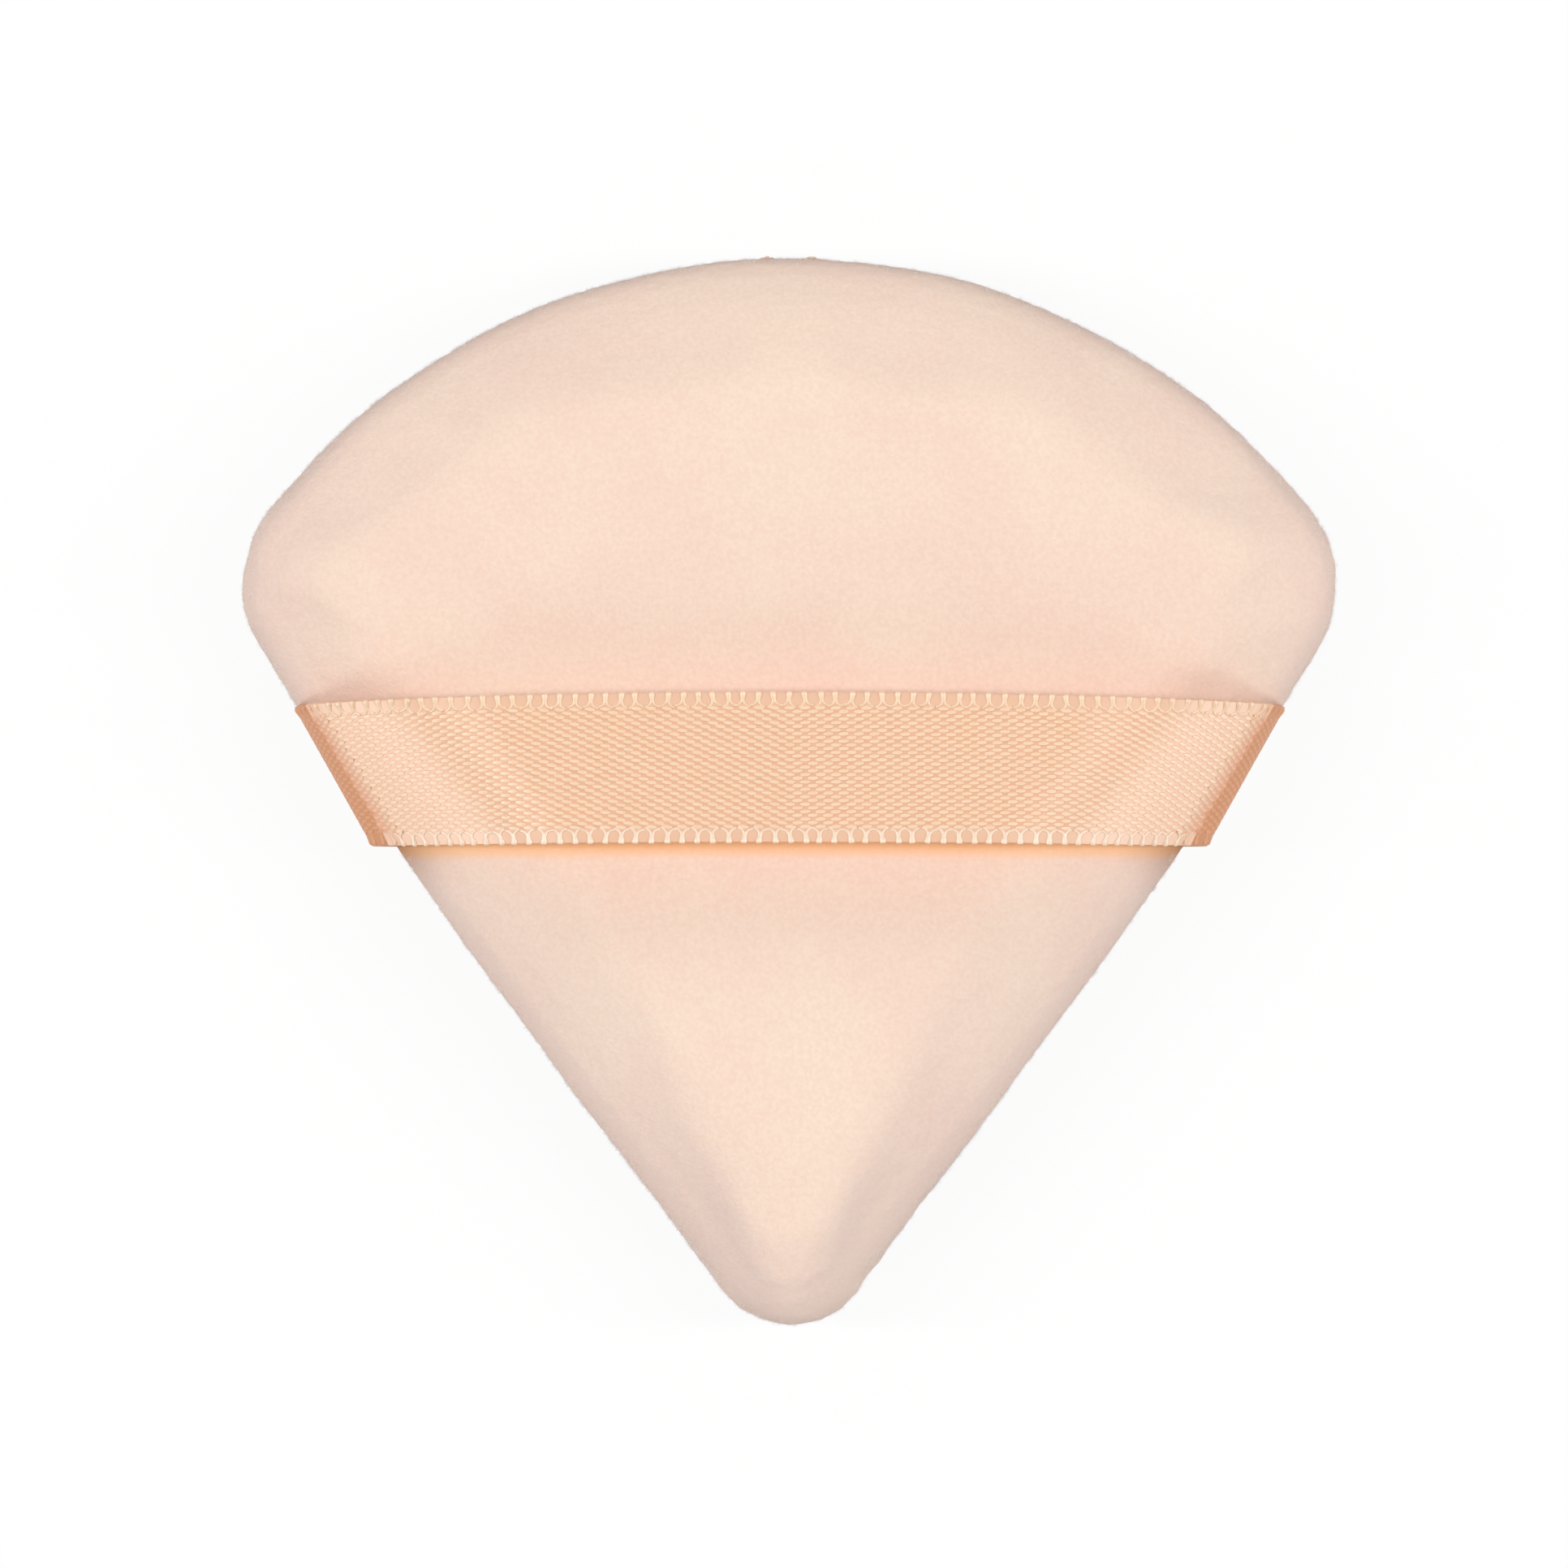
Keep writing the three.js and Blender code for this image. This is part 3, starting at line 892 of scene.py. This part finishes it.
def make_floats(run):
    """The satin face: rows of warp floats between the selvedges, each row half a float on."""
    field = RIBBON_WIDTH - 2 * SELVEDGE_WIDTH
    rows = round(field / FLOAT_ROW_PITCH)
    frames = []
    curls = []
    for row in range(rows):
        share = (SELVEDGE_WIDTH + field * (row + 0.5) / rows) / RIBBON_WIDTH
        shown = run.shown(share)
        count = int(shown / FLOAT_PITCH)
        for column in range(-count, count + 1):
            along = (column + 0.5 * (row % 2)) * FLOAT_PITCH
            if abs(along) < shown:
                here, forward, sideways, up = run.frame_at(along, share)
                curl = run.curl(along, share)
                rise = FLOAT_RISE * (1 - CURL_FLATTENING * curl)
                sunk = here + up * (RIBBON_BODY / 2 - FLOAT_SINK + rise - FLOAT_RISE)
                easing = np.clip((SLANT_TURN - abs(along)) / SLANT_FADE, STEEPEST_SLANT, 1)
                slant = FLOAT_SLANT * easing * np.sign(along)
                frames.append(turned((sunk, forward, sideways, up), slant))
                curls.append(curl)
    floats = lay_on_ribbon("ribbon_satin_floats", float_pattern(), frames, curls)
    bpy.ops.object.shade_smooth_by_angle(angle=FLOAT_SHARP_EDGE)
    return floats


def loop_pattern():
    """One selvedge loop: the weft turns round the ribbon's edge as a fat round foot, runs in as a
    leg and arches over to the next foot. It points out along -Y, half a pitch each way."""
    quarter = np.linspace(0, pi / 2, LOOP_STEPS)
    arch_x = FLOAT_PITCH / 2 * (1 - np.cos(quarter))
    arch_y = (LOOP_HEIGHT - LOOP_LEG) * np.sin(quarter) + LOOP_LEG - LOOP_HEIGHT / 2
    spine = [(0, share * LOOP_LEG - LOOP_HEIGHT / 2) for share in FOOT_SPINE_SHARES]
    spine += list(zip(arch_x, arch_y))
    foot, yarn = LOOP_FOOT / 2, LOOP_YARN / 2
    widths = [foot * share for share in FOOT_WIDTH_SHARES]
    widths += list(np.linspace(foot * LEG_WIDTH_SHARE, yarn, NARROWING_STEPS))
    widths += [yarn] * (LOOP_STEPS - NARROWING_STEPS)
    bpy.ops.mesh.primitive_circle_add(
        vertices=6,
        radius=widths[0],
        fill_type="NGON",
        location=(*spine[0], 0),
        rotation=(pi / 2, 0, 0),
    )
    loop = start("selvedge_loop")
    bend = pi / 2 / (LOOP_STEPS - 1)
    for number in range(1, len(spine)):
        step = np.subtract(spine[number], spine[number - 1])
        grown = widths[number] / widths[number - 1]
        centre = (*spine[number], 0)
        bpy.ops.mesh.extrude_region_move(TRANSFORM_OT_translate={"value": (*step, 0)})
        bpy.ops.transform.resize(value=(grown, grown, grown), center_override=centre)
        if number > len(FOOT_SPINE_SHARES):
            bpy.ops.transform.rotate(value=bend, orient_axis="Z", center_override=centre)
    bpy.ops.mesh.select_all(action="SELECT")
    cut_off((0, 0, 0), (1, 0, 0), MERGE / 10)
    settle(loop)
    mirror_half(loop, MERGE / 5)
    turn_outwards(loop)
    set_points(loop, points_of(loop) * (1, 1, LOOP_FLATNESS))
    return loop


def make_selvedge(name, run, upper):
    """The loops along one edge of the ribbon."""
    share = LOOP_HEIGHT / 2 / RIBBON_WIDTH
    share = 1 - share if upper else share
    count = int(run.shown(share) / FLOAT_PITCH)
    draw = np.random.default_rng(LOOP_SEED)
    frames = []
    curls = []
    for column in range(-count, count + 1):
        along = column * FLOAT_PITCH + draw.uniform(-LOOP_STRAY, LOOP_STRAY)
        curl = run.curl(along, share)
        here, forward, sideways, up = run.frame_at(along, share)
        inwards = -sideways if upper else sideways
        here = here + up * RIBBON_BODY / 2 + (inwards * LOOP_TUCK - up * LOOP_YARN / 4) * curl
        laid = (here, np.cross(inwards, up), inwards, up)
        frames.append(turned(laid, draw.uniform(-LOOP_SWAY, LOOP_SWAY)))
        curls.append(curl)
    return lay_on_ribbon(name, loop_pattern(), frames, curls)


# The hand stitches that close the turning gap


def twisted_thread(name, path, turns):
    """A two-ply thread along a path: a curve of two round strands twisted round each other, made
    a mesh."""
    ahead = np.gradient(path, axis=0)
    ahead /= np.linalg.norm(ahead, axis=1, keepdims=True)
    side = np.cross(ahead, UPRIGHT)
    side /= np.linalg.norm(side, axis=1, keepdims=True)
    up = np.cross(side, ahead)
    curve = bpy.data.curves.new(name, "CURVE")
    curve.dimensions = "3D"
    curve.bevel_depth = THREAD_DIAMETER / 4
    curve.bevel_resolution = 1
    curve.use_fill_caps = True
    for phase in (0, pi):
        angle = np.linspace(0, 2 * pi * turns, len(path)) + phase
        offset = THREAD_DIAMETER / 4 * (np.cos(angle)[:, None] * side + np.sin(angle)[:, None] * up)
        strand = curve.splines.new("POLY")
        strand.points.add(len(path) - 1)
        for spot, place in zip(strand.points, path + offset):
            spot.co = (*place, 1)
    thread = only(add_object(name, curve))
    bpy.ops.object.convert(target="MESH")
    return thread


def make_closing_stitches():
    """Slanting stitches across the seam at the fan's top, each from lip to lip."""
    centre, radius, _, _ = ARCS[0]
    half_turn = np.arcsin(CLOSING_STITCH_RUN / 2 / radius)
    count = 2 * round(CLOSING_STITCH_RUN / CLOSING_STITCH_PITCH)
    corners = []
    for k in range(count + 1):
        turn = -half_turn + 2 * half_turn * k / count
        proud = PROUD_STITCH_RISE * (k % 2) * np.exp(-(radius * turn / PROUD_STITCH_SPREAD) ** 2)
        place = centre + (radius - CLOSING_STITCH_SINK + proud) * outward(turn)
        corners.append((*place, SEAM_Z + CLOSING_STITCH_SWAY * (1 if k % 2 else -1)))
    corners = np.array(corners)
    knots = np.arange(count + 1)
    fine = np.linspace(0, count, THREAD_STEPS * count)
    eased = np.floor(fine) + (1 - np.cos(pi * (fine % 1))) / 2
    path = np.stack([
        np.interp(fine, knots, corners[:, 0]),
        np.interp(fine, knots, corners[:, 1]),
        np.interp(np.minimum(eased, count), knots, corners[:, 2]),
    ], axis=1)
    stitches = twisted_thread("closing_stitches", path, CLOSING_STITCH_RUN / THREAD_TWIST)
    smooth(stitches)
    return stitches


# Materials


def linear(code):
    """A screen colour as the linear numbers that a shader takes."""
    parts = [int(code[k:k + 2], 16) / 255 for k in (1, 3, 5)]
    return tuple(((c + 0.055) / 1.055) ** 2.4 if c > 0.04045 else c / 12.92 for c in parts)


def feed(material, socket, value):
    """Sets a socket to a number or a colour, or links another socket to it."""
    if isinstance(value, str):
        value = linear(value)
    if isinstance(value, tuple):
        socket.default_value = (*value, 1)
    elif isinstance(value, (int, float)):
        socket.default_value = value
    else:
        material.node_tree.links.new(value, socket)


def add_node(material, kind, **inputs):
    """A new node of the material, with its inputs fed by name."""
    node = material.node_tree.nodes.new("ShaderNode" + kind)
    for name, value in inputs.items():
        feed(material, node.inputs[name], value)
    return node


def plain_material(name, color):
    """A new material in its main colour, before its finish."""
    material = bpy.data.materials.new(name)
    material.use_nodes = True
    return finish(material, {"Base Color": color})


def finish(material, looks):
    """Feeds the sockets of the material's own shader."""
    surface = material.node_tree.nodes["Principled BSDF"]
    for name, value in looks.items():
        feed(material, surface.inputs[name], value)
    return material


def place_on(material):
    """Where a point lies on the object's own coordinates."""
    return add_node(material, "TexCoord").outputs["Object"]


def object_noise(material, size, detail=2.0, stretch=(1, 1, 1)):
    """Noise on the object's own coordinates, its lumps about one size across."""
    mapping = add_node(material, "Mapping", Vector=place_on(material))
    mapping.inputs["Scale"].default_value = stretch
    laid = mapping.outputs["Vector"]
    return add_node(material, "TexNoise", Vector=laid, Scale=1 / size, Detail=detail).outputs["Fac"]


def written(material, name):
    """A number that was written on the piece's points."""
    attribute = add_node(material, "Attribute")
    attribute.attribute_name = name
    return attribute.outputs["Fac"]


def reckon(material, operation, *values):
    """A sum of one or two values."""
    sum_node = add_node(material, "Math")
    sum_node.operation = operation
    for socket, value in zip(sum_node.inputs, values):
        feed(material, socket, value)
    return sum_node.outputs["Value"]


def color_between(material, factor, colors, places=(0.35, 0.65)):
    """A colour ramp between two colours."""
    ramp = add_node(material, "ValToRGB", Fac=factor)
    for stop, place, color in zip(ramp.color_ramp.elements, places, colors):
        stop.position = place
        stop.color = (*linear(color), 1)
    return ramp.outputs["Color"]


def mix_colors(material, factor, first, second, blend="MIX"):
    mix = add_node(material, "Mix", Factor=factor)
    mix.data_type = "RGBA"
    mix.blend_type = blend
    feed(material, mix.inputs[6], first)
    feed(material, mix.inputs[7], second)
    return mix.outputs[2]


def bump(material, height, depth):
    relief = add_node(material, "Bump", Strength=1.0, Distance=depth, Height=height)
    return relief.outputs["Normal"]


def velour_material():
    """Short velour: a matt pile with soft peach and cream patches where it lies differently. It
    takes on painted shade and painted shadow in the places that were written on it."""
    material = plain_material("peach_velour", "#FCE1CF")
    patches = color_between(material, object_noise(material, size=9 * MM), ("#FADFCE", "#FBE4D1"))
    pile = color_between(material, object_noise(material, size=0.3 * MM), ("#F4E5DC", "#FFFFFF"))
    pile_share = 0.3
    color = mix_colors(material, pile_share, patches, pile, "MULTIPLY")
    # The written places are painted shade and painted shadow: greyer over the rim, warm under the
    # ribbon, dark round its corners.
    shades = {"painted_rim_shade": "#DCC7C4", "painted_warm_shadow": "#FFC68E", "painted_corner_shadow": "#A06C48"}
    for place, shade in shades.items():
        color = mix_colors(material, written(material, place), color, shade)
    return finish(material, {
        "Base Color": color,
        "Roughness": 0.9,
        "Specular IOR Level": 0.15,
        "Sheen Weight": 0.12,
        "Sheen Roughness": 0.5,
        "Sheen Tint": "#FFF1E6",
        "Normal": bump(material, object_noise(material, size=0.22 * MM, detail=3.0), depth=0.05 * MM),
    })


def pile_painted_light_material():
    """The fibres that stand out past the rim, in the velour's colour painted much paler: painted light,
    for the light that comes through them.
    """
    material = plain_material("pile_with_painted_light", "#FFF0E4")
    fibres = object_noise(material, size=0.6 * MM)
    return finish(material, {
        "Base Color": color_between(material, fibres, ("#FFF3E8", "#FFFFFF")),
        "Roughness": 0.9,
        "Specular IOR Level": 0.15,
        "Sheen Weight": 0.3,
        "Sheen Tint": "#FFF6EE",
    })


def selvedge_factor(material):
    """1 in the ribbon's two selvedges and 0 between them, which its own UV tells."""
    field_edge = 0.5 - SELVEDGE_WIDTH / RIBBON_WIDTH
    blur = 0.01
    laid_out = add_node(material, "UVMap").outputs["UV"]
    across = add_node(material, "SeparateXYZ", Vector=laid_out).outputs["Y"]
    off_middle = reckon(material, "ABSOLUTE", reckon(material, "SUBTRACT", across, 0.5))
    edges = (field_edge - blur, field_edge + blur)
    return color_between(material, off_middle, ("#000000", "#FFFFFF"), edges)


def satin_material(name, low, high, curl_shade, roughness, ior=1.95, selvedge=None):
    """Satin yarn: peach filaments with a soft gloss, streaked in tone along them and painted a
    little darker where they lie low, as painted shade between the filaments. It takes a darker
    painted shade where the ribbon turns down over the pad's edge, and can have a paler selvedge."""
    material = plain_material(name, high)
    filaments = object_noise(material, size=0.6 * MM, stretch=(0.4, 6, 6))
    woven = color_between(material, filaments, (low, high))
    # Painted shade: the colour turns darker where the ribbon curls down over the pad's edge.
    color = mix_colors(material, written(material, "curled"), woven, curl_shade)
    if selvedge:
        color = mix_colors(material, selvedge_factor(material), color, selvedge)
    return finish(material, {
        "Base Color": color,
        "Roughness": roughness,
        "Specular IOR Level": 1.0,
        "IOR": ior,
        "Sheen Weight": 0.1,
        "Sheen Tint": "#FFE8D4",
        "Normal": bump(material, filaments, depth=0.003 * MM),
    })


def thread_material():
    """Sewing thread, painted darker where its fibres lie low, as painted shade between them."""
    material = plain_material("pale_thread", "#F3D3BB")
    fibres = object_noise(material, size=0.12 * MM)
    return finish(material, {
        "Base Color": color_between(material, fibres, ("#E6BFA2", "#F8DCC6")),
        "Roughness": 0.55,
        "Normal": bump(material, fibres, depth=0.02 * MM),
    })


def foam_material():
    """Open-cell foam: pale, matt and pitted, its pits painted darker as painted shade."""
    material = plain_material("pale_foam", "#F6EFE2")
    cell_size = 0.5 * MM
    cells = add_node(material, "TexVoronoi", Vector=place_on(material), Scale=1 / cell_size)
    pits = cells.outputs["Distance"]
    return finish(material, {
        "Base Color": color_between(material, pits, ("#D9CDB8", "#FAF4E8"), places=(0.1, 0.6)),
        "Roughness": 0.95,
        "Normal": bump(material, pits, depth=0.2 * MM),
    })


def floor_material():
    """A plain pale floor that the camera sees as white where no shadow falls."""
    material = plain_material("pale_floor", "#FFFFFF")
    path = add_node(material, "LightPath")
    seen = path.outputs["Is Camera Ray"]
    for other in ("Is Glossy Ray", "Is Transmission Ray"):
        seen = reckon(material, "MAXIMUM", seen, path.outputs[other])
    shaded = (1 - FLOOR_GLOW, 1 - FLOOR_GLOW, 1 - FLOOR_GLOW)
    return finish(material, {
        "Base Color": mix_colors(material, seen, FLOOR_BOUNCE, shaded),
        "Roughness": 0.9,
        "Specular IOR Level": 0,
        "Emission Color": "#FFFFFF",
        "Emission Strength": reckon(material, "MULTIPLY", seen, FLOOR_GLOW),
    })


def put_on(piece, material, shaded_turned_down=None):
    """One material, and on the ribbon a duller, darker one where it has turned down over the edge,
    which is painted shade.
    """
    piece.data.materials.clear()
    piece.data.materials.append(material)
    if shaded_turned_down:
        piece.data.materials.append(shaded_turned_down)
        curled = np.empty(len(piece.data.vertices), np.float32)
        piece.data.attributes["curled"].data.foreach_get("value", curled)
        for face in piece.data.polygons:
            if curled[list(face.vertices)].min() > FULLY_CURLED:
                face.material_index = 1


# The setting


def make_floor():
    bpy.ops.mesh.primitive_plane_add(size=FLOOR_SIZE, location=(0, 0, -FLOOR_GAP))
    floor = bpy.context.object
    floor.name = "floor"
    put_on(floor, floor_material())


def add_lamp(name, bearing, tilt, distance, size, share):
    """A soft lamp that faces the puff from a tilt off the vertical. Its size is how wide it is
    and how far it reaches up. It lights the floor with its share of the level at which a white
    floor renders as white."""
    tilt, bearing = radians(tilt), radians(bearing)
    place = Vector((sin(tilt) * cos(bearing), sin(tilt) * sin(bearing), cos(tilt))) * distance
    light = bpy.data.lights.new(name, "AREA")
    light.shape = "RECTANGLE"
    light.size, light.size_y = size
    light.energy = share * (pi * distance) ** 2 / cos(tilt)
    lamp = add_object(name, light)
    lamp.location = place
    lamp.rotation_euler = (-place).to_track_quat("-Z", "Y").to_euler()


def light_and_look():
    """A wide box behind the puff's round end, a long narrow one high over each side, and a low
    one off each side of the tip, which give the ribbon's ends their shine."""
    scene = bpy.context.scene
    scene.view_settings.view_transform = "Standard"
    world = bpy.data.worlds.new("studio")
    world.use_nodes = True
    sky = world.node_tree.nodes["Background"]
    sky.inputs["Color"].default_value = (1, 1, 1, 1)
    sky.inputs["Strength"].default_value = WORLD_SHARE
    scene.world = world
    back = {"tilt": 60, "distance": 1.0, "size": (0.6, 0.4), "share": BACK_SHARE}
    main = {"tilt": 44, "distance": 1.2, "size": (0.15, 1.2), "share": MAIN_SHARE}
    low = {"tilt": 75, "distance": 1.0, "size": (0.3, 0.55), "share": LOW_SHARE}
    add_lamp("back softbox", bearing=90, **back)
    add_lamp("left main softbox", bearing=179, **main)
    add_lamp("right main softbox", bearing=1, **main)
    add_lamp("left low softbox", bearing=214, **low)
    add_lamp("right low softbox", bearing=326, **low)


def make_camera():
    """Straight above the puff, with the photograph's framing."""
    pixel = RIBBON_WIDTH / RIBBON_PIXELS
    aside, ahead = (PHOTO_PIXELS / 2 - PUFF_MIDDLE_PIXEL) * pixel
    camera = bpy.data.cameras.new("photo_camera")
    camera.sensor_fit = "HORIZONTAL"
    camera.sensor_width = 36
    camera.lens = camera.sensor_width * CAMERA_DISTANCE / (PHOTO_PIXELS * pixel)
    camera.clip_start = 10 * MM
    holder = add_object("photo_camera", camera)
    holder.location = (aside, -ahead, SEAM_Z + CAMERA_DISTANCE)
    bpy.context.scene.camera = holder


# Making it all

make_camera()
light_and_look()
make_floor()

run = RibbonRun()
velour_back, velour_powder_side = make_covers()
back_pile = make_pile(velour_back, "velour_back_pile")
powder_pile = make_pile(velour_powder_side, "velour_powder_pile")
mark_painted_ribbon_shadows(velour_back, run)
mark_painted_rim_shade(velour_back)
mark_painted_rim_shade(velour_powder_side)
foam_pad = make_foam()
ribbon_ground = make_ribbon_body(run)
satin_floats = make_floats(run)
lower_selvedge = make_selvedge("ribbon_lower_selvedge", run, upper=False)
upper_selvedge = make_selvedge("ribbon_upper_selvedge", run, upper=True)
closing_stitches = make_closing_stitches()

velour = velour_material()
pile = pile_painted_light_material()
foam = foam_material()
# The last colour of each satin is its painted shade where the ribbon turns down.
satin = satin_material("peach_satin", "#FACBA0", "#FAD6B1", "#EEA36A", roughness=0.46)
lower_satin = satin_material("cream_satin", "#FDD9B6", "#FFE4CA", "#F0A266", roughness=0.45)
upper_satin = satin_material("pale_satin", "#FCD0A4", "#FDDAB4", "#F0A266", roughness=0.45)
# The ground shows between the floats and is painted darker than them: painted shade between the floats.
shaded_ground_satin = satin_material(
    "shaded_ground_satin", "#E8A878", "#F0B486", "#E08A50", roughness=0.42, selvedge="#F2BC92"
)
# Darker, duller copies of the satin for the turned-down ends: painted shade.
shaded_turned_satin = satin_material(
    "shaded_turned_satin", "#E09A6A", "#E6A577", "#E29E6E", roughness=0.5, ior=1.5
)
shaded_turned_ground = satin_material(
    "shaded_turned_ground", "#D6925F", "#DE9C6A", "#D48D5A", roughness=0.5, ior=1.5
)
thread = thread_material()

for piece, node, slot, material, shaded_turned_down in (
    (velour_back, "back_cover", "velour", velour, None),
    (velour_powder_side, "powder_cover", "velour", velour, None),
    (back_pile, None, "velour", pile, None),
    (powder_pile, None, "velour", pile, None),
    (foam_pad, "foam_core", "foam", foam, None),
    (ribbon_ground, "ribbon_band", "satin_ribbon", shaded_ground_satin, shaded_turned_ground),
    (satin_floats, None, "satin_ribbon", satin, shaded_turned_satin),
    (lower_selvedge, None, "satin_ribbon", lower_satin, shaded_turned_satin),
    (upper_selvedge, None, "satin_ribbon", upper_satin, shaded_turned_satin),
    (closing_stitches, "closing_stitch", "thread", thread, None),
):
    put_on(piece, material, shaded_turned_down)
    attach(piece, "root")
    if node:
        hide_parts(node)
for node in ("seam_needle_thread", "seam_bobbin_thread"):
    put_on(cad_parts[node], thread)
